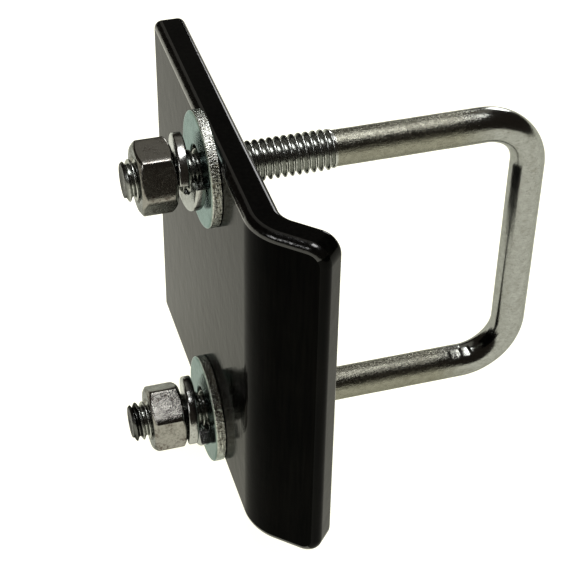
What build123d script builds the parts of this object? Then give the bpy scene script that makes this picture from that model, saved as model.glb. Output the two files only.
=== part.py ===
from build123d import *
from math import cos, radians, sin, tan
import os

# Square-bend U-bolt clamp: a zinc plated 5/16-18 U-bolt, a bent pressure plate, and a flat washer,
# a split lock washer and a hexagon nut on each leg.
# Frame: the origin is on the plate's clamp face, midway between the two legs. +X points along the
# legs to the U-bolt's crown, +Z points along the plate from the lower leg to the upper one, and
# the plate's bent lip is on the -Y side. Lengths are in millimetres, angles in degrees.

# Thread, 5/16-18 UNC
pitch = 25.4 / 18
major_radius = 3.95
root_radius = major_radius - 0.6134 * pitch
crest_width = pitch / 8
flank_length = pitch * 0.34
nut_bore_radius = 4.0

# U-bolt
leg_spacing = 60.3
bar_radius = 3.5
crown_x = 58.7
bend_radius = 10.5
thread_end_x = 17.7
upper_tip_x = -22.5
lower_tip_x = -23.9
tip_plain = 1.0
tip_chamfer = 0.3

# Pressure plate
plate_thickness = 6.4
plate_width = 74.8
plate_far_y = 44.5
lip_corner_y = -26.9
lip_length = 11.8
lip_angle = 47.1
inner_bend_radius = 5.0
far_corner_radius = 1.8
lip_corner_radius = 4.0
edge_radius = 1.6
hole_radius = 4.75

# Washers and nuts
washer_radius = 11.1
washer_bore_radius = 4.75
washer_thickness = 2.1
washer_edge = 0.35
lock_outer_radius = 7.45
lock_inner_radius = 4.2
lock_thickness = 2.0
lock_rise = 2.85
lock_gap_angle = 10
lock_edge = 0.3
nut_width = 12.7
nut_height = 6.75
nut_chamfer_angle = 30
nut_mouth = 0.45

outer_face_x = -plate_thickness
lock_face_x = outer_face_x - washer_thickness
nut_face_x = lock_face_x - lock_thickness - lock_rise
nut_back_x = nut_face_x - nut_height

# Each leg: its height, its tip, and the turns of a corner of its nut and of the end of its lock
# washer that meets the nut. Turns are measured about +X from the +Y direction.
legs = {
    "upper": (leg_spacing / 2, upper_tip_x, 5, 165),
    "lower": (-leg_spacing / 2, lower_tip_x, -31, 200),
}

os.makedirs("parts", exist_ok=True)


def leg_plane(x, height):
    """Plane across a leg at x, facing the crown, with its first direction along +Y."""
    return Plane(origin=(x, 0, height), x_dir=(0, 1, 0), z_dir=(1, 0, 0))


def leg_axis(height):
    """Centre line of a leg."""
    return Axis((0, 0, height), (1, 0, 0))


def finish(piece, label):
    """Name a piece and write it."""
    piece.part.label = label
    export_step(piece.part, f"parts/{label}.step")


# ---------------------------------------------------------------- U-bolt
# Round bar bent square at the crown. Each leg ends in a thread with a chamfered tip: its ridges
# are rings, one for each turn of the real thread, and the bar is a little thinner than they are.
with BuildPart() as u_bolt:
    with BuildLine(Plane.XZ) as bar_path:
        FilletPolyline(
            (thread_end_x, leg_spacing / 2),
            (crown_x, leg_spacing / 2),
            (crown_x, -leg_spacing / 2),
            (thread_end_x, -leg_spacing / 2),
            radius=bend_radius,
        )
    with BuildSketch(leg_plane(thread_end_x, leg_spacing / 2)):
        Circle(bar_radius)
    sweep(path=bar_path.line)

    for height, tip_x, _, _ in legs.values():
        turns = int((thread_end_x - tip_x - tip_plain) / pitch)
        ridge_feet = [thread_end_x - pitch * turn for turn in range(turns + 1)]
        outline = [(thread_end_x, height)]
        for foot_x in ridge_feet[:-1]:
            outline += [
                (foot_x, height + root_radius),
                (foot_x - flank_length, height + major_radius),
                (foot_x - flank_length - crest_width, height + major_radius),
                (foot_x - 2 * flank_length - crest_width, height + root_radius),
            ]
        outline += [
            (ridge_feet[-1], height + root_radius),
            (tip_x + tip_chamfer, height + root_radius),
            (tip_x, height + root_radius - tip_chamfer),
            (tip_x, height),
        ]
        with BuildSketch(Plane.XZ):
            with BuildLine():
                Polyline(*outline, close=True)
            make_face()
        revolve(axis=leg_axis(height))
finish(u_bolt, "u_bolt")

# ---------------------------------------------------------------- pressure plate
lip_x, lip_y = sin(radians(lip_angle)), -cos(radians(lip_angle))
inner_tip = (lip_length * lip_x, lip_corner_y + lip_length * lip_y)
outer_tip = (inner_tip[0] + plate_thickness * lip_y, inner_tip[1] - plate_thickness * lip_x)
outer_corner_y = lip_corner_y - plate_thickness * tan(radians(lip_angle / 2))

with BuildPart() as clamp_plate:
    with BuildSketch(Plane.XY):
        with BuildLine() as profile:
            Polyline(
                (0, plate_far_y),
                (0, lip_corner_y),
                inner_tip,
                outer_tip,
                (outer_face_x, outer_corner_y),
                (outer_face_x, plate_far_y),
                close=True,
            )
        make_face()
    extrude(amount=plate_width / 2, both=True)

    # The bend, round inside and outside.
    upright = clamp_plate.edges().filter_by(Axis.Z)
    inner_bend = upright.sort_by_distance((0, lip_corner_y, 0))[0]
    outer_bend = upright.sort_by_distance((outer_face_x, outer_corner_y, 0))[0]
    fillet(inner_bend, radius=inner_bend_radius)
    fillet(outer_bend, radius=inner_bend_radius + plate_thickness)

    # The four corners, and then the worn edges round both faces.
    across_lip = Axis((0, 0, 0), (-lip_y, lip_x, 0))
    fillet(clamp_plate.edges().filter_by(Axis.X), radius=far_corner_radius)
    fillet(clamp_plate.edges().filter_by(across_lip), radius=lip_corner_radius)
    seams = clamp_plate.edges().filter_by(Axis.X) + clamp_plate.edges().filter_by(across_lip)
    bend_lines = [
        edge
        for edge in clamp_plate.edges().filter_by(Axis.Z)
        if inner_tip[1] + 1 < edge.center().Y < plate_far_y - 1
        and abs(edge.center().Y - outer_tip[1]) > 1
    ]
    rims = [edge for edge in clamp_plate.edges() if edge not in seams and edge not in bend_lines]
    fillet(rims, radius=edge_radius)

    # One clearance hole for each leg.
    with BuildSketch(Plane.YZ.offset(1)):
        with Locations((0, leg_spacing / 2), (0, -leg_spacing / 2)):
            Circle(hole_radius)
    extrude(amount=-plate_thickness - 2, mode=Mode.SUBTRACT)
finish(clamp_plate, "clamp_plate")

# ---------------------------------------------------------------- washers and nuts on each leg
for side, (height, _, nut_turn, split_turn) in legs.items():
    # Stamped flat washer, rounded on the face away from the plate.
    with BuildPart() as flat_washer:
        with BuildSketch(leg_plane(lock_face_x, height)):
            Circle(washer_radius)
            Circle(washer_bore_radius, mode=Mode.SUBTRACT)
        extrude(amount=washer_thickness)
        stamped_face = flat_washer.faces().sort_by(Axis.X)[0]
        fillet(stamped_face.edges(), radius=washer_edge)
    finish(flat_washer, f"{side}_flat_washer")

    # Split lock washer: one turn of a left-hand spring, free and so not yet pressed flat. Unturned,
    # its coil starts at +Z.
    coil = Edge.make_helix(
        pitch=lock_rise * 360 / (360 - lock_gap_angle),
        height=lock_rise,
        radius=(lock_outer_radius + lock_inner_radius) / 2,
        center=(nut_face_x + lock_thickness / 2, 0, height),
        normal=(1, 0, 0),
        lefthand=True,
    ).rotate(leg_axis(height), split_turn - 90)
    start = coil @ 0
    with BuildPart() as lock_washer:
        with BuildSketch(Plane(origin=start, x_dir=start - Vector(start.X, 0, height), z_dir=coil % 0)):
            RectangleRounded(lock_outer_radius - lock_inner_radius, lock_thickness, lock_edge)
        sweep(path=coil, is_frenet=True)
    finish(lock_washer, f"{side}_lock_washer")

    # Hexagon nut, chamfered on both faces, with a bore that clears the crests of the leg's thread.
    corner = nut_width / 2 / cos(radians(30))
    face_circle = nut_width / 2 * 0.96
    rise = (corner - face_circle) * tan(radians(nut_chamfer_angle))
    with BuildPart() as nut:
        with BuildSketch(leg_plane(nut_back_x, height)):
            RegularPolygon(nut_width / 2, 6, major_radius=False, rotation=nut_turn)
        extrude(amount=nut_height)
        with BuildSketch(Plane.XZ):
            with BuildLine():
                Polyline(
                    (nut_back_x, height),
                    (nut_back_x, height + face_circle),
                    (nut_back_x + rise, height + corner),
                    (nut_face_x - rise, height + corner),
                    (nut_face_x, height + face_circle),
                    (nut_face_x, height),
                    close=True,
                )
            make_face()
        revolve(axis=leg_axis(height), mode=Mode.INTERSECT)
        with BuildSketch(leg_plane(nut_back_x - 1, height)):
            Circle(nut_bore_radius)
        extrude(amount=nut_height + 2, mode=Mode.SUBTRACT)
        with BuildSketch(Plane.XZ):
            for face_x, inward in ((nut_back_x, 1), (nut_face_x, -1)):
                with BuildLine():
                    Polyline(
                        (face_x - inward * nut_mouth, height),
                        (face_x - inward * nut_mouth, height + nut_bore_radius + 2 * nut_mouth),
                        (face_x + inward * 2 * nut_mouth, height + nut_bore_radius - nut_mouth),
                        (face_x + inward * 2 * nut_mouth, height),
                        close=True,
                    )
                make_face()
        revolve(axis=leg_axis(height), mode=Mode.SUBTRACT)
    finish(nut, f"{side}_nut")
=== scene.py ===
from math import cos, floor, pi, radians, sin, tan

import bmesh
import bpy
from mathutils import Matrix, Vector, geometry, noise


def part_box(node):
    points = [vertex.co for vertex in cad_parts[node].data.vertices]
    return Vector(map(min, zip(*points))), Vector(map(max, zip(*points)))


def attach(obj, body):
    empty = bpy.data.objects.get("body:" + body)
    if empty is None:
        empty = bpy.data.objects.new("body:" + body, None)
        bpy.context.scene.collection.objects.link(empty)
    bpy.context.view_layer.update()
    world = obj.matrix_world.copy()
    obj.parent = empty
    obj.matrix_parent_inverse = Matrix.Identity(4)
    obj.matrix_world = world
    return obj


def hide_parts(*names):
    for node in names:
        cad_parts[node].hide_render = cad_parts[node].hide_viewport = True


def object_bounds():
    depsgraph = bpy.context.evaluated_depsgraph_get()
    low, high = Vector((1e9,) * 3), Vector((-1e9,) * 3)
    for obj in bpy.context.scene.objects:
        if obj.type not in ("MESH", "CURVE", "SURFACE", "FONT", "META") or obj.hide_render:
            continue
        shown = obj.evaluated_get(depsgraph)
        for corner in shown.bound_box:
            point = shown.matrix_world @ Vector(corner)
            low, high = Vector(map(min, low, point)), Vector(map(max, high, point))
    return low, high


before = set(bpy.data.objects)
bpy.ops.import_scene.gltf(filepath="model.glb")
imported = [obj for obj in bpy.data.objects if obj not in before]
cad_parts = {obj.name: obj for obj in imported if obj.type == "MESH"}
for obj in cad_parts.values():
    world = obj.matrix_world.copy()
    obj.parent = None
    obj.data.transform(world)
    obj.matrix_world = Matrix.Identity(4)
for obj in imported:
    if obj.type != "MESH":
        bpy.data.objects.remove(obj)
cad_low, cad_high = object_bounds()

MM = 0.001

# ------------------------------------------------------------------ dimensions
# Thread, 5/16-18 UNC, and the bar that it is rolled on
PITCH = 25.4 / 18 * MM
CREST = 3.95 * MM
ROOT = 3.1 * MM
BAR = 3.5 * MM
THREAD_END = 17.7 * MM
TIPS = (-22.5 * MM, -23.9 * MM)

# U-bolt: half the distance between the legs, the crown, and the bends
LEG_Z = 30.15 * MM
CROWN_X = 58.7 * MM
BEND = 10.5 * MM

# Washers and nuts
WASHER_RIM = 11.1 * MM
WASHER_BORE = 4.75 * MM
LOCK_THICK = 2.0 * MM
LOCK_INNER = 4.2 * MM
LOCK_OUTER = 7.45 * MM
LOCK_TURN = radians(350)
NUT_APOTHEM = 6.35 * MM

# Pressure plate, measured on its flat blank from the far end
PLATE_FAR = 44.5 * MM
PLATE_HALF = 37.4 * MM
PLATE_THICK = 6.4 * MM
PLATE_HOLE = 4.75 * MM
BEND_IN = 5.0 * MM
BEND_TURN = radians(47.1)
FLAT_RUN = PLATE_FAR + 26.9 * MM - BEND_IN * tan(BEND_TURN / 2)
BEND_RUN = BEND_IN * BEND_TURN
LIP_RUN = 11.8 * MM - BEND_IN * tan(BEND_TURN / 2)
FAR_CORNER = 1.8 * MM
LIP_CORNER = 4.0 * MM
PLATE_EDGE = 1.6 * MM
HOLE_EDGE = 0.35 * MM

# ------------------------------------------------------------------ camera
# A 100 mm lens looks down past the plate's outer face towards the crown.
AZIMUTH = radians(-17.24)
ELEVATION = radians(38.83)
ROLL = radians(0.99)
LENS = 100.92
CAMERA_PLACE = Vector((-64.89, -239.81, 200.30)) * MM


def make_camera():
    """Camera at the photograph's viewing angle, as fitted to the object's outline."""
    back = Vector(
        (
            sin(AZIMUTH) * cos(ELEVATION),
            -cos(AZIMUTH) * cos(ELEVATION),
            sin(ELEVATION),
        )
    )
    level = Vector((cos(AZIMUTH), sin(AZIMUTH), 0))
    upright = back.cross(level)
    right = level * cos(ROLL) + upright * sin(ROLL)
    up = upright * cos(ROLL) - level * sin(ROLL)
    data = bpy.data.cameras.new("camera")
    data.sensor_width = 36
    data.lens = LENS
    data.clip_start = 0.01
    data.clip_end = 10
    camera = bpy.data.objects.new("camera", data)
    axes = Matrix((right, up, back)).transposed().to_4x4()
    camera.matrix_world = Matrix.Translation(CAMERA_PLACE) @ axes
    bpy.context.scene.collection.objects.link(camera)
    bpy.context.scene.camera = camera


make_camera()


# ------------------------------------------------------------------ materials
# The stretch of the X axis that colour ramps along the bar cover
ALONG_START = -30 * MM
ALONG_LENGTH = 100 * MM


def share_along(x):
    """Place in a colour ramp along the bar for an x in metres."""
    return (x - ALONG_START) / ALONG_LENGTH


class Nodes:
    """Short names for the few shader nodes that the materials share."""

    def __init__(self, name):
        self.material = bpy.data.materials.new(name)
        self.material.use_nodes = True
        self.tree = self.material.node_tree
        self.shader = self.tree.nodes["Principled BSDF"]
        self.place = self.tree.nodes.new("ShaderNodeTexCoord").outputs["Object"]

    def set(self, **values):
        for name, value in values.items():
            self.shader.inputs[name.replace("_", " ")].default_value = value
        return self

    def link(self, value, socket):
        if isinstance(value, bpy.types.NodeSocket):
            self.tree.links.new(value, socket)
        else:
            socket.default_value = value

    def noise(self, scale, detail=4.0, roughness=0.55, stretch=(1, 1, 1), distortion=0.0):
        """Noise in metres: scale is features per metre, stretch divides it along an axis."""
        mapping = self.tree.nodes.new("ShaderNodeMapping")
        mapping.inputs["Scale"].default_value = [1 / s for s in stretch]
        self.tree.links.new(self.place, mapping.inputs["Vector"])
        node = self.tree.nodes.new("ShaderNodeTexNoise")
        node.inputs["Scale"].default_value = scale
        node.inputs["Detail"].default_value = detail
        node.inputs["Roughness"].default_value = roughness
        node.inputs["Distortion"].default_value = distortion
        self.tree.links.new(mapping.outputs["Vector"], node.inputs["Vector"])
        return node.outputs["Fac"]

    def ramp(self, value, *stops):
        """Colour ramp; each stop is (place, colour or grey)."""
        node = self.tree.nodes.new("ShaderNodeValToRGB")
        elements = node.color_ramp.elements
        while len(elements) < len(stops):
            elements.new(0.5)
        for element, (place, colour) in zip(elements, stops):
            element.position = place
            grey = not isinstance(colour, tuple)
            element.color = (colour, colour, colour, 1) if grey else (*colour, 1)
        self.tree.links.new(value, node.inputs["Fac"])
        return node.outputs["Color"]

    def math(self, operation, first, second=0.0):
        node = self.tree.nodes.new("ShaderNodeMath")
        node.operation = operation
        self.link(first, node.inputs[0])
        self.link(second, node.inputs[1])
        return node.outputs[0]

    def mix(self, share, first, second, blend="MIX"):
        node = self.tree.nodes.new("ShaderNodeMix")
        node.data_type = "RGBA"
        node.blend_type = blend
        self.link(share, node.inputs[0])
        for value, socket in ((first, node.inputs[6]), (second, node.inputs[7])):
            self.link((*value, 1) if isinstance(value, tuple) else value, socket)
        return node.outputs[2]

    def bump(self, height, depth, strength=1.0, before=None):
        """Bump of a height between 0 and 1; depth is in metres."""
        node = self.tree.nodes.new("ShaderNodeBump")
        node.inputs["Strength"].default_value = strength
        node.inputs["Distance"].default_value = depth
        self.tree.links.new(height, node.inputs["Height"])
        if before is not None:
            self.tree.links.new(before, node.inputs["Normal"])
        return node.outputs["Normal"]

    def along(self):
        """Place along the X axis, from 0 to 1 over the stretch that share_along measures."""
        split = self.tree.nodes.new("ShaderNodeSeparateXYZ")
        self.tree.links.new(self.place, split.inputs["Vector"])
        return self.math("MULTIPLY", self.math("ADD", split.outputs["X"], -ALONG_START), 1 / ALONG_LENGTH)

    def sideways(self):
        """1 where the surface faces away from the X axis, 0 where it faces along it."""
        split = self.tree.nodes.new("ShaderNodeSeparateXYZ")
        normal = self.tree.nodes.new("ShaderNodeTexCoord").outputs["Normal"]
        self.tree.links.new(normal, split.inputs["Vector"])
        along = self.math("ABSOLUTE", split.outputs["X"])
        return self.ramp(along, (0.35, 1.0), (0.75, 0.0))

    def finish(self, **sockets):
        for name, value in sockets.items():
            self.tree.links.new(value, self.shader.inputs[name.replace("_", " ")])
        return self.material


def zinc(
    name,
    colour,
    shade,
    edge_tint,
    roughness,
    mottle,
    grain=(1, 1, 1),
    depth=0.03 * MM,
    torn_rim=False,
    drawn=False,
):
    """Bright zinc plate: cloudy tone and gloss, scuffs along the grain, and small dark pits.

    edge_tint holds the glare down at grazing angles, and mottle is in features per metre. A torn rim
    is rougher and speckled where the surface faces away from the leg's axis. A drawn bar is coarser
    between its threads and its bends. Its colour along it is painted shade: darker than the threads on
    the legs, the bends and the crown, and darkest on its end faces, whose glare is held down too.
    """
    nodes = Nodes(name).set(Metallic=1.0, Specular_Tint=(*edge_tint, 1))
    cloud = nodes.noise(mottle * 0.3, detail=3)
    scuff = nodes.noise(mottle, detail=6, roughness=0.7, stretch=grain, distortion=0.5)
    pit = nodes.noise(mottle * 3.2, detail=3, roughness=0.7, stretch=grain)
    tone = nodes.math("ADD", nodes.math("MULTIPLY", cloud, 0.4), nodes.math("MULTIPLY", scuff, 0.6))
    bright = tuple(min(1, c * 1.2) for c in colour)
    body = nodes.ramp(tone, (0.36, shade), (0.49, colour), (0.64, bright))
    dirt = nodes.ramp(pit, (0.32, 0.35), (0.43, 1.0))
    gloss = nodes.ramp(tone, (0.36, roughness[1]), (0.60, roughness[0]))
    finish = nodes.mix(0.85, body, dirt, "MULTIPLY")
    if drawn:
        # The look changes at the tips, at the end of the thread and before the bends.
        along = nodes.along()
        tip, tip_shade_end = share_along(-22.45 * MM), share_along(-21.6 * MM)
        rolled, plain = share_along(THREAD_END), share_along(THREAD_END + 0.3 * MM)
        before_bend, bend = share_along(42 * MM), share_along(50 * MM)
        coarse = nodes.ramp(along, (rolled, 0.20), (plain, 1.0), (before_bend, 1.0), (bend, 0.20))
        scuff = nodes.math("MULTIPLY", scuff, coarse)
        pit = nodes.math("MULTIPLY", pit, coarse)
        sheen = nodes.ramp(along, (rolled, 0.90), (plain, 1.0), (before_bend, 1.0), (bend, 0.58))
        gloss = nodes.math("MULTIPLY", gloss, sheen)
        # Painted shade along the bar: the plain legs, the bends and the crown darker than the threads, the
        # end faces darkest.
        painted_leg_shade = (0.49, 0.47, 0.405)
        painted_shade_along = nodes.ramp(
            along,
            (tip, 0.24),
            (tip_shade_end, 1.0),
            (rolled, 1.0),
            (plain, painted_leg_shade),
            (before_bend, painted_leg_shade),
            (bend, 0.65),
        )
        finish = nodes.mix(1.0, finish, painted_shade_along, "MULTIPLY")
        # Painted shade: the glare on the end faces is held down as well.
        nodes.finish(Specular_Tint=nodes.ramp(along, (tip, 0.24), (tip_shade_end, edge_tint)))
    relief = nodes.bump(scuff, depth, 0.8)
    relief = nodes.bump(pit, depth * 0.4, 0.6, before=relief)
    if torn_rim:
        rim = nodes.sideways()
        tear = nodes.noise(2300, detail=4, roughness=0.7, stretch=(2.6, 1, 1), distortion=0.6)
        relief = nodes.bump(nodes.math("MULTIPLY", tear, rim), 0.2 * MM, 1.0, before=relief)
        gloss = nodes.math("ADD", gloss, nodes.math("MULTIPLY", rim, 0.05))
        speckle = nodes.ramp(tear, (0.34, (0.38, 0.34, 0.27)), (0.50, 1.0))
        worn = nodes.mix(1.0, finish, speckle, "MULTIPLY")
        face = nodes.mix(1.0, finish, (0.44, 0.52, 0.51), "MULTIPLY")
        finish = nodes.mix(rim, face, worn)
    return nodes.finish(Base_Color=finish, Roughness=gloss, Normal=relief)


def black_coat(name, gloss_index, roughness, ripple_scale=260, ripple_depth=0.06 * MM):
    """Gloss black powder coat: a faint ripple, with dust and rub marks along the plate's height.

    gloss_index is lower than a real coat's where the coat has to stay dark at grazing angles; that darkness
    is painted shade.
    """
    nodes = Nodes(name).set(Metallic=0.0, IOR=gloss_index)
    dust = nodes.noise(1300, detail=5, roughness=0.6, stretch=(1, 1, 16), distortion=0.2)
    broad = nodes.noise(70, detail=2)
    ripple = nodes.noise(ripple_scale, detail=2)
    tone = nodes.math("ADD", nodes.math("MULTIPLY", dust, 0.6), nodes.math("MULTIPLY", broad, 0.4))
    colour = nodes.ramp(tone, (0.4, (0.0005, 0.0005, 0.0005)), (0.7, (0.003, 0.0028, 0.0023)))
    gloss = nodes.ramp(tone, (0.35, roughness[0]), (0.65, roughness[1]))
    relief = nodes.bump(ripple, ripple_depth, 0.6)
    relief = nodes.bump(dust, 0.012 * MM, 0.5, before=relief)
    return nodes.finish(Base_Color=colour, Roughness=gloss, Normal=relief)


# ------------------------------------------------------------------ meshes
def smoothstep(low, high, value):
    """0 up to low, 1 from high, and a soft step between."""
    share = min(1.0, max(0.0, (value - low) / (high - low)))
    return share * share * (3 - 2 * share)


def thread(x, angle, crest, root):
    """Radius of a right-hand thread at x, at an angle measured from +Y towards +Z."""
    half_crest, flank_length = 0.06, 0.37
    turn = x / PITCH - angle / (2 * pi)
    offset = abs(turn - floor(turn + 0.5))
    flank = min(1.0, max(0.0, (offset - half_crest) / flank_length))
    return crest + (root - crest) * (0.55 * flank + 0.45 * smoothstep(0, 1, flank))


def soft_min(first, second, width):
    """The smaller of two lengths, with the corner between them rounded over a width."""
    share = max(0.0, width - abs(first - second)) / width
    return min(first, second) - share * share * width / 4


def add_piece(name, vertices, faces, material, body, sharp=38):
    """A piece that is shown in place of the CAD node of the same body."""
    data = bpy.data.meshes.new(name)
    data.from_pydata([tuple(v) for v in vertices], [], faces)
    shell = bmesh.new()
    shell.from_mesh(data)
    bmesh.ops.recalc_face_normals(shell, faces=shell.faces)
    shell.to_mesh(data)
    shell.free()
    data.materials.append(material)
    data.shade_smooth()
    data.set_sharp_from_angle(angle=radians(sharp))
    piece = bpy.data.objects.new(name, data)
    bpy.context.scene.collection.objects.link(piece)
    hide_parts(body)
    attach(piece, body)
    return piece


def tube_faces(rings, segments, closed):
    """Quads between each ring of points and the next."""
    faces = []
    for ring in range(rings if closed else rings - 1):
        here, there = ring * segments, (ring + 1) % rings * segments
        for k in range(segments):
            n = (k + 1) % segments
            faces.append((here + k, here + n, there + n, there + k))
    return faces


def node_axis(node):
    """Middle height of a node that sits on a leg, whose axis is at y = 0."""
    low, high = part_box(node)
    return (low.z + high.z) / 2


# ------------------------------------------------------------------ U-bolt
# Flats that the bending jaw left inside the lower bend. Each has its start and end from where the
# bend starts, its depth, all in millimetres, and the direction that it faces, in degrees.
JAW_FLATS = ((-2.4, -0.9, 0.17, 246), (0.3, 2.6, 0.20, 254))
JAW_FADE = 0.6


def leg_radius(x, angle, tip):
    """Radius of a leg at x: its chamfered tip, its thread, and the step up to the plain bar."""
    run_out_radius = 3.72 * MM
    tip_radius = 3.3 * MM
    chamfer_slope = 0.9
    radius = thread(x, angle, CREST, ROOT)
    run_out = smoothstep(THREAD_END - 0.9 * MM, THREAD_END - 0.2 * MM, x)
    radius += (run_out_radius - radius) * run_out
    step = smoothstep(THREAD_END - 0.05 * MM, THREAD_END + 0.12 * MM, x)
    radius += (BAR - radius) * step
    return soft_min(radius, tip_radius + (x - tip) * chamfer_slope, 0.12 * MM)


def pinched(radius, run, angle):
    """The bar's radius with the bending jaw's flats cut into it."""
    for start, end, depth, facing in JAW_FLATS:
        around = cos(angle - radians(facing))
        if around > 0.5:
            entry = smoothstep(start - JAW_FADE, start, run / MM)
            bite = entry * (1 - smoothstep(end, end + JAW_FADE, run / MM))
            flat = BAR + (0.15 * (1 - bite) - depth * bite) * MM
            radius = soft_min(radius, flat / around, 0.24 * MM)
    return radius


def bolt_stations():
    """Points along the bar, tip to tip: place, outward direction, leg, bend share, run into bend.

    They are close together on the thread, up to just past its end, and wider apart on the plain bar.
    """
    thread_step = PITCH / 20
    plain_step = 0.25 * MM
    bend_steps = crown_steps = 60
    stations = []
    for leg, tip in zip((1, -1), TIPS):
        places = []
        x = tip
        while x < THREAD_END + 0.4 * MM:
            places.append(x)
            x += thread_step
        while x < CROWN_X - BEND - 0.15 * MM:
            places.append(x)
            x += plain_step
        run = [
            (Vector((x, 0, leg * LEG_Z)), Vector((0, 0, leg)), leg, 0.0, x - CROWN_X + BEND)
            for x in places
        ]
        middle = Vector((CROWN_X - BEND, 0, leg * (LEG_Z - BEND)))
        for k in range(bend_steps + 1):
            turn = pi / 2 * k / bend_steps
            out = Vector((sin(turn), 0, leg * cos(turn)))
            run.append((middle + out * BEND, out, leg, sin(2 * turn), BEND * turn))
        stations += run if leg > 0 else run[::-1]
        if leg > 0:
            straight = 2 * (LEG_Z - BEND)
            for k in range(1, crown_steps):
                place = Vector((CROWN_X, 0, straight * (0.5 - k / crown_steps)))
                stations.append((place, Vector((1, 0, 0)), 0, 0.0, BEND * pi / 2))
    return stations


def close_end(vertices, faces, first, middle, segments):
    """Close an end of the bar after its ring from first: a sheared face with a slight dish.

    middle is the centre of that ring.
    """
    previous = first
    for share, depth in ((0.93, 0.0), (0.6, 0.05 * MM), (0.3, 0.1 * MM)):
        start = len(vertices)
        for k in range(segments):
            out = vertices[first + k] - middle
            vertices.append(Vector((middle.x + depth, out.y * share, middle.z + out.z * share)))
        for k in range(segments):
            n = (k + 1) % segments
            faces.append((previous + k, previous + n, start + n, start + k))
        previous = start
    bottom = len(vertices)
    vertices.append(middle + Vector((0.11 * MM, 0, 0)))
    for k in range(segments):
        faces.append((previous + k, previous + (k + 1) % segments, bottom))


def build_u_bolt(material):
    """One bar from tip to tip, a little wide and flat in its bends, with broad and fine dents.

    The jaw's marks are all within a few millimetres of where the lower bend starts.
    """
    widened, flattened = 0.025, 0.05
    segments = 72
    vertices = []
    stations = bolt_stations()
    for place, out, leg, bend, run in stations:
        for k in range(segments):
            angle = 2 * pi * k / segments
            radius = BAR
            if run < 0:
                radius = leg_radius(place.x, leg * angle, TIPS[0] if leg > 0 else TIPS[1])
            if leg < 0 and -4 * MM < run < 5 * MM:
                radius = pinched(radius, run, angle)
            wide, tall = radius * (1 + widened * bend), radius * (1 - flattened * bend)
            point = place + Vector((0, wide * cos(angle), 0)) + out * (tall * sin(angle))
            dents = noise.noise(point * 300) * 0.02 * MM + noise.noise(point * 900) * 0.008 * MM
            vertices.append(point + (point - place).normalized() * dents)
    faces = tube_faces(len(stations), segments, closed=False)
    for first, station in ((0, stations[0]), ((len(stations) - 1) * segments, stations[-1])):
        close_end(vertices, faces, first, station[0], segments)
    return add_piece("u_bolt_bar", vertices, faces, material, "u_bolt")


# ------------------------------------------------------------------ nuts
def build_nut(side, turn, material):
    """Hexagon nut with soft corners, chamfered faces, countersunk mouths and a real thread."""
    low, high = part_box(f"{side}_nut")
    axis = node_axis(f"{side}_nut")
    segments = 216
    mouth = 4.45 * MM
    corner = 7.2 * MM
    chamfer = 6.1 * MM
    chamfer_slope = 1.6
    softness = 0.45 * MM

    def outer(x, angle):
        sector = (angle - radians(turn)) % (pi / 3) - pi / 6
        flat = soft_min(NUT_APOTHEM / cos(sector), corner, softness)
        edge = min(x - low.x, high.x - x)
        return soft_min(flat, chamfer + edge * chamfer_slope, softness)

    def inner(x, angle):
        edge = min(x - low.x, high.x - x)
        bore = thread(x, angle, CREST + 0.05 * MM, ROOT + 0.10 * MM)
        return max(bore, mouth - edge)

    # Rings along the outside, closer together near the faces, across one face, back through the
    # thread, and across the other face. A ring on a face has its share of the outside's radius.
    length = high.x - low.x
    near_face = [0.0, 0.02 * MM, 0.05 * MM] + [(0.1 + 0.06 * k) * MM for k in range(20)]
    between = length - 2 * near_face[-1]
    middle = [near_face[-1] + between * k / 12 for k in range(1, 12)]
    outside = near_face + middle + [length - step for step in near_face[::-1]]
    rings = [(low.x + step, outer, None) for step in outside]
    rings += [(high.x, None, share) for share in (0.9, 0.6, 0.3, 0.1)]
    rings += [(low.x + length * k / 90, inner, None) for k in range(90, -1, -1)]
    rings += [(low.x, None, share) for share in (0.1, 0.3, 0.6, 0.9)]
    vertices = []
    for x, shape, share in rings:
        for k in range(segments):
            angle = 2 * pi * k / segments
            if shape is None:
                radius = outer(x, angle) * share + inner(x, angle) * (1 - share)
            else:
                radius = shape(x, angle)
            vertices.append((x, radius * cos(angle), axis + radius * sin(angle)))
    faces = tube_faces(len(rings), segments, closed=True)
    return add_piece(f"{side}_nut_forged", vertices, faces, material, f"{side}_nut", 50)


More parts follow.
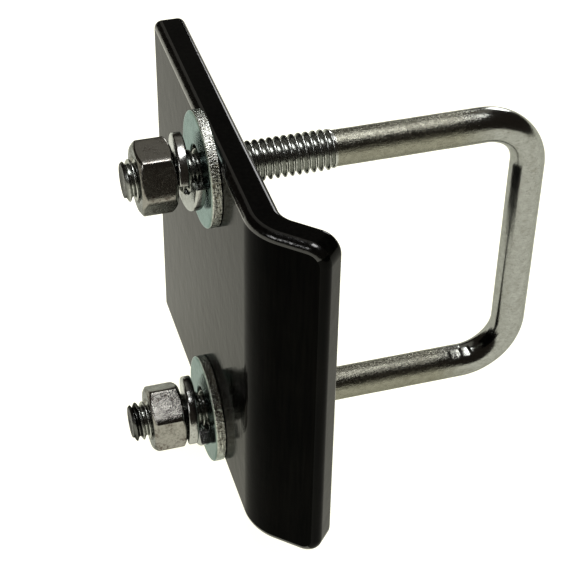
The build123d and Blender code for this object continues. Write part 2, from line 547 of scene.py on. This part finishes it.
# ------------------------------------------------------------------ washers
def build_flat_washer(side, material):
    """Stamped washer: rolled edges on its punched face, and a torn rim."""
    low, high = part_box(f"{side}_flat_washer")
    axis = node_axis(f"{side}_flat_washer")
    segments = 300
    rim, bore = WASHER_RIM, WASHER_BORE
    bore_roll = 0.4 * MM
    rim_roll = 0.45 * MM
    break_edge = 0.1 * MM
    rim_break = 0.12 * MM
    rim_length = high.x - low.x - rim_roll - break_edge
    bore_length = high.x - low.x - bore_roll - break_edge
    tear_depth = 0.07 * MM

    # Its section, from the rolled mouth of the bore, round by the rim, and back along the bore.
    profile = []
    for k in range(7):
        turn = pi / 2 * k / 6
        profile.append((low.x + bore_roll * (1 - sin(turn)), bore + bore_roll * (1 - cos(turn))))
    punched = rim - bore - bore_roll - rim_roll
    profile += [(low.x, bore + bore_roll + punched * k / 12) for k in range(1, 13)]
    for k in range(1, 8):
        turn = pi / 2 * k / 7
        profile.append((low.x + rim_roll * (1 - cos(turn)), rim - rim_roll * (1 - sin(turn))))
    profile += [(low.x + rim_roll + rim_length * k / 16, rim) for k in range(1, 17)]
    back = rim - bore - rim_break - break_edge
    profile += [(high.x, rim - rim_break - back * k / 6) for k in range(7)]
    profile += [(high.x - break_edge - bore_length * k / 8, bore) for k in range(8)]
    vertices = []
    for x, radius in profile:
        on_rim = smoothstep(rim - 0.02 * MM, rim, radius)
        share = (x - low.x) / (high.x - low.x)
        for k in range(segments):
            angle = 2 * pi * k / segments
            tear = noise.noise(Vector((9 * cos(angle), 9 * sin(angle), share * 5)))
            tear *= smoothstep(0.2, 0.4, share)
            out = radius - on_rim * tear_depth * max(0.0, tear)
            vertices.append((x, out * cos(angle), axis + out * sin(angle)))
    faces = tube_faces(len(profile), segments, closed=True)
    return add_piece(
        f"{side}_flat_washer_stamped", vertices, faces, material, f"{side}_flat_washer", 60
    )


def build_lock_washer(side, start_turn, material):
    """Split lock washer in its free shape: one left-hand turn of square wire with sheared ends."""
    low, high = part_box(f"{side}_lock_washer")
    axis = node_axis(f"{side}_lock_washer")
    rise = high.x - low.x - LOCK_THICK
    round_off = 0.42 * MM

    # The wire's section, as a place along the leg and a radius, with four rounded corners.
    section = []
    for side_x, side_r, first in ((1, 1, 0), (-1, 1, 90), (-1, -1, 180), (1, -1, 270)):
        centre_r = (LOCK_OUTER if side_r > 0 else LOCK_INNER) - side_r * round_off
        centre_x = side_x * (LOCK_THICK / 2 - round_off)
        for k in range(6):
            turn = radians(first + 18 * k)
            section.append((centre_x + round_off * cos(turn), centre_r + round_off * sin(turn)))
    count = len(section)
    steps = 210
    vertices = []
    for k in range(steps + 1):
        share = k / steps
        angle = radians(start_turn) - LOCK_TURN * share
        centre = low.x + LOCK_THICK / 2 + rise * share
        for along, radius in section:
            vertices.append((centre + along, radius * cos(angle), axis + radius * sin(angle)))
    faces = tube_faces(steps + 1, count, closed=False)
    faces.append(tuple(range(count)))
    faces.append(tuple(steps * count + k for k in range(count)))
    return add_piece(
        f"{side}_lock_washer_coil", vertices, faces, material, f"{side}_lock_washer", 45
    )


# ------------------------------------------------------------------ pressure plate
def bent(run, depth, height):
    """Place on the bent plate of a point of its flat blank, and the blank's two turned directions.

    run is along the blank from its far end, depth is below the clamp face.
    """
    turn = min(1.0, max(0.0, (run - FLAT_RUN) / BEND_RUN)) * BEND_TURN
    down = Vector((-cos(turn), -sin(turn), 0))
    along = Vector((sin(turn), -cos(turn), 0))
    if run <= FLAT_RUN:
        return Vector((-depth, PLATE_FAR - run, height)), down, along
    place = Vector((BEND_IN, PLATE_FAR - FLAT_RUN, 0)) + down * (BEND_IN + depth)
    place += along * max(0.0, run - FLAT_RUN - BEND_RUN)
    return place + Vector((0, 0, height)), down, along


def blank_outline():
    """Points round the flat blank with their outward directions, denser where the bend will be."""
    total = FLAT_RUN + BEND_RUN + LIP_RUN
    corner, far = LIP_CORNER, FAR_CORNER
    bend = [FLAT_RUN + BEND_RUN * k / 24 for k in range(25)]
    flat = [far + (FLAT_RUN - far) * k / 20 for k in range(20)]
    lip = [FLAT_RUN + BEND_RUN + (LIP_RUN - corner) * k / 3 for k in range(1, 4)]
    points = []

    def corner_arc(run, height, radius, first):
        """A quarter turn about a point of the blank, from one direction clockwise to the next."""
        for k in range(1, 13):
            turn = radians(first) - pi / 2 * k / 12
            out = (cos(turn), sin(turn))
            points.append((run + radius * out[0], height + radius * out[1], *out))

    for run in flat + bend + lip:
        points.append((run, PLATE_HALF, 0.0, 1.0))
    corner_arc(total - corner, PLATE_HALF - corner, corner, 90)
    for k in range(1, 13):
        points.append((total, (PLATE_HALF - corner) * (1 - k / 6), 1.0, 0.0))
    corner_arc(total - corner, corner - PLATE_HALF, corner, 0)
    for run in (flat + bend + lip)[-2::-1]:
        points.append((run, -PLATE_HALF, 0.0, -1.0))
    corner_arc(far, far - PLATE_HALF, far, -90)
    for k in range(1, 13):
        points.append((0.0, (PLATE_HALF - far) * (k / 6 - 1), -1.0, 0.0))
    corner_arc(far, PLATE_HALF - far, far, 180)
    # The last corner ends on the first point.
    return points[:-1]


def hole_outline(height):
    """Points round a hole of the blank, with their outward directions."""
    points = []
    for k in range(96):
        out = (cos(2 * pi * k / 96), sin(2 * pi * k / 96))
        points.append((PLATE_FAR + PLATE_HOLE * out[0], height + PLATE_HOLE * out[1], *out))
    return points


class PlateMesh:
    """Vertices with their true normals, and faces with the number of their material."""

    FACE, WALL, RIM = range(3)
    ARC_STEPS = 8

    def __init__(self):
        self.vertices = []
        self.normals = []
        self.faces = []
        self.slots = []

    def ring(self, loop, rolled, inward, turn, on_outer_face):
        """One ring of a rolled rim, at a turn from the face to the wall."""
        depth = rolled * (1 - cos(turn))
        offset = rolled * (1 - sin(turn))
        ring = []
        for run, height, out_run, out_height in loop:
            place, down, along = bent(
                run - out_run * offset * inward,
                PLATE_THICK - depth if on_outer_face else depth,
                height - out_height * offset * inward,
            )
            slope = cos(turn) if on_outer_face else -cos(turn)
            sideways = Vector((0, 0, out_height * sin(turn) * inward))
            ring.append(len(self.vertices))
            self.vertices.append(place)
            self.normals.append(down * slope + along * (out_run * sin(turn) * inward) + sideways)
        return ring

    def wall(self, loop, rolled, inward):
        """Rings from the clamp face over the rolled rim, down the wall, and onto the outer face.

        The rims round the outer face have their own material where they face up or down, with a real coat's
        gloss; the faces and the rest of the walls, the rims round the clamp face included, reflect less, as
        painted shade.
        """
        turns = [pi / 2 * k / self.ARC_STEPS for k in range(self.ARC_STEPS + 1)]
        rings = [self.ring(loop, rolled, inward, turn, False) for turn in turns]
        rings += [self.ring(loop, rolled, inward, turn, True) for turn in turns[::-1]]
        for step, (here, there) in enumerate(zip(rings, rings[1:])):
            for k in range(len(loop)):
                n = (k + 1) % len(loop)
                on_rim = step > self.ARC_STEPS and abs(loop[k][3]) > 0.7
                self.faces.append((here[k], here[n], there[n], there[k]))
                self.slots.append(self.RIM if on_rim else self.WALL)
        return rings[0], rings[-1]

    def fill(self, loops):
        """Triangles between an outer loop and the holes in it."""
        order = [index for loop in loops for index in loop]
        outlines = [[self.vertices[index] for index in loop] for loop in loops]
        for triangle in geometry.tessellate_polygon(outlines):
            self.faces.append(tuple(order[k] for k in triangle))
            self.slots.append(self.FACE)

    def face(self, outline, ring, holes):
        """A face of the plate: a flat with the holes, strips round the bend, and the lip's flat."""
        count = len(outline)
        close = 1e-9
        runs = [point[0] for point in outline]
        flat = {k for k in range(count) if runs[k] <= FLAT_RUN + close}
        lip = [k for k in range(count) if runs[k] >= FLAT_RUN + BEND_RUN - close]
        curve = [k for k in range(count) if FLAT_RUN - close <= runs[k] <= FLAT_RUN + BEND_RUN + close]
        curve.sort(key=lambda k: runs[k])
        upper = [k for k in curve if outline[k][1] > 0]
        lower = [k for k in curve if outline[k][1] < 0]
        for a, b, c, d in zip(upper, upper[1:], lower[1:], lower):
            self.faces.append((ring[a], ring[b], ring[c], ring[d]))
            self.slots.append(self.FACE)
        start = max(k for k in flat if outline[k][1] > 0 and outline[k][3] == 1.0)
        around = [k % count for k in range(start + 1 - count, start + 1)]
        self.fill([[ring[k] for k in around if k in flat], *holes])
        self.fill([[ring[k] for k in lip]])


def build_plate(face_material, wall_material, rim_material):
    """Bent plate with rolled rims and drilled holes. Its shading follows the true surface."""
    mesh = PlateMesh()
    outline = blank_outline()
    rims = mesh.wall(outline, PLATE_EDGE, 1)
    holes = [mesh.wall(hole_outline(height), HOLE_EDGE, -1) for height in (LEG_Z, -LEG_Z)]
    for side, ring in enumerate(rims):
        mesh.face(outline, ring, [hole[side] for hole in holes])
    piece = add_piece(
        "clamp_plate_coated", mesh.vertices, mesh.faces, face_material, "clamp_plate", 180
    )
    piece.data.materials.append(wall_material)
    piece.data.materials.append(rim_material)
    for polygon, slot in zip(piece.data.polygons, mesh.slots):
        polygon.material_index = slot
    piece.data.normals_split_custom_set_from_vertices([tuple(n.normalized()) for n in mesh.normals])


# ------------------------------------------------------------------ assembly
BAR_ZINC = zinc(
    "zinc_bar",
    (0.377, 0.387, 0.37),
    (0.31, 0.31, 0.285),
    (0.58, 0.59, 0.57),
    (0.20, 0.36),
    mottle=2100,
    grain=(2.4, 1, 1),
    depth=0.11 * MM,
    drawn=True,
)
NUT_ZINC = zinc(
    "zinc_nut",
    (0.235, 0.229, 0.212),
    (0.08, 0.064, 0.054),
    (0.42, 0.44, 0.44),
    (0.14, 0.33),
    mottle=1400,
    depth=0.05 * MM,
)
WASHER_ZINC = zinc(
    "zinc_washer",
    (0.46, 0.47, 0.44),
    (0.34, 0.345, 0.32),
    (0.44, 0.51, 0.52),
    (0.08, 0.22),
    mottle=1100,
    torn_rim=True,
)
SPRING = zinc(
    "spring_steel",
    (0.34, 0.345, 0.335),
    (0.22, 0.21, 0.19),
    (0.6, 0.62, 0.62),
    (0.12, 0.24),
    mottle=900,
)
# The coat in three copies: the faces and walls have a lower index than a real coat, painted shade that
# keeps them dark at grazing angles; the rims round the outer face have a real coat's index.
COAT = black_coat("black_coat", 1.05, (0.06, 0.17))
COAT_WALL = black_coat("black_coat_wall", 1.1, (0.06, 0.17))
COAT_RIM = black_coat("black_coat_rim", 1.5, (0.12, 0.26), 500, 0.12 * MM)

# Each leg, with the turns of a corner of its nut and of the end of its lock washer, in degrees.
LEGS = (("upper", 5, 165), ("lower", -31, 200))

build_u_bolt(BAR_ZINC)
build_plate(COAT, COAT_WALL, COAT_RIM)
for side, nut_turn, split_turn in LEGS:
    build_nut(side, nut_turn, NUT_ZINC)
    build_flat_washer(side, WASHER_ZINC)
    build_lock_washer(side, split_turn, SPRING)


# ------------------------------------------------------------------ floor and light
# Middle of the clamp, which every light is aimed at
AIM = Vector((0.02, 0, 0))


def make_floor():
    """Pale floor that gives off a warm light of its own, which the metal reflects."""
    data = bpy.data.meshes.new("floor")
    reach = 3.0
    z = cad_low.z
    corners = [(-reach, -reach, z), (reach, -reach, z), (reach, reach, z), (-reach, reach, z)]
    data.from_pydata(corners, [], [(0, 1, 2, 3)])
    nodes = Nodes("floor_white").set(Roughness=0.9)
    nodes.set(Base_Color=(0.35, 0.35, 0.34, 1), Emission_Color=(1.0, 0.98, 0.82, 1), Emission_Strength=1.15)
    data.materials.append(nodes.material)
    floor = bpy.data.objects.new("floor", data)
    bpy.context.scene.collection.objects.link(floor)


def make_light(name, place, size, power, colour=(1, 1, 1)):
    """Square soft light aimed at the clamp."""
    data = bpy.data.lights.new(name, "AREA")
    data.size = size
    data.energy = power
    data.color = colour
    lamp = bpy.data.objects.new(name, data)
    lamp.location = place
    lamp.rotation_euler = (AIM - Vector(place)).to_track_quat("-Z", "Y").to_euler()
    bpy.context.scene.collection.objects.link(lamp)


def make_world(colour):
    """Dim surroundings of one colour."""
    world = bpy.data.worlds.new("studio")
    world.use_nodes = True
    world.node_tree.nodes["Background"].inputs["Color"].default_value = (*colour, 1)
    bpy.context.scene.world = world


make_floor()
make_light("overhead", (0.1, 0.05, 0.9), 0.40, 5.6)
make_light("ceiling", (0.25, 1.0, 1.05), 1.2, 1.2, (1.0, 0.97, 0.86))
make_light("left", (-0.9, -0.25, 0.55), 0.30, 2.2)
make_light("back", (0.62, 0.80, 0.28), 0.26, 4.0)
make_world((0.034, 0.028, 0.022))
bpy.context.scene.view_settings.view_transform = "Standard"
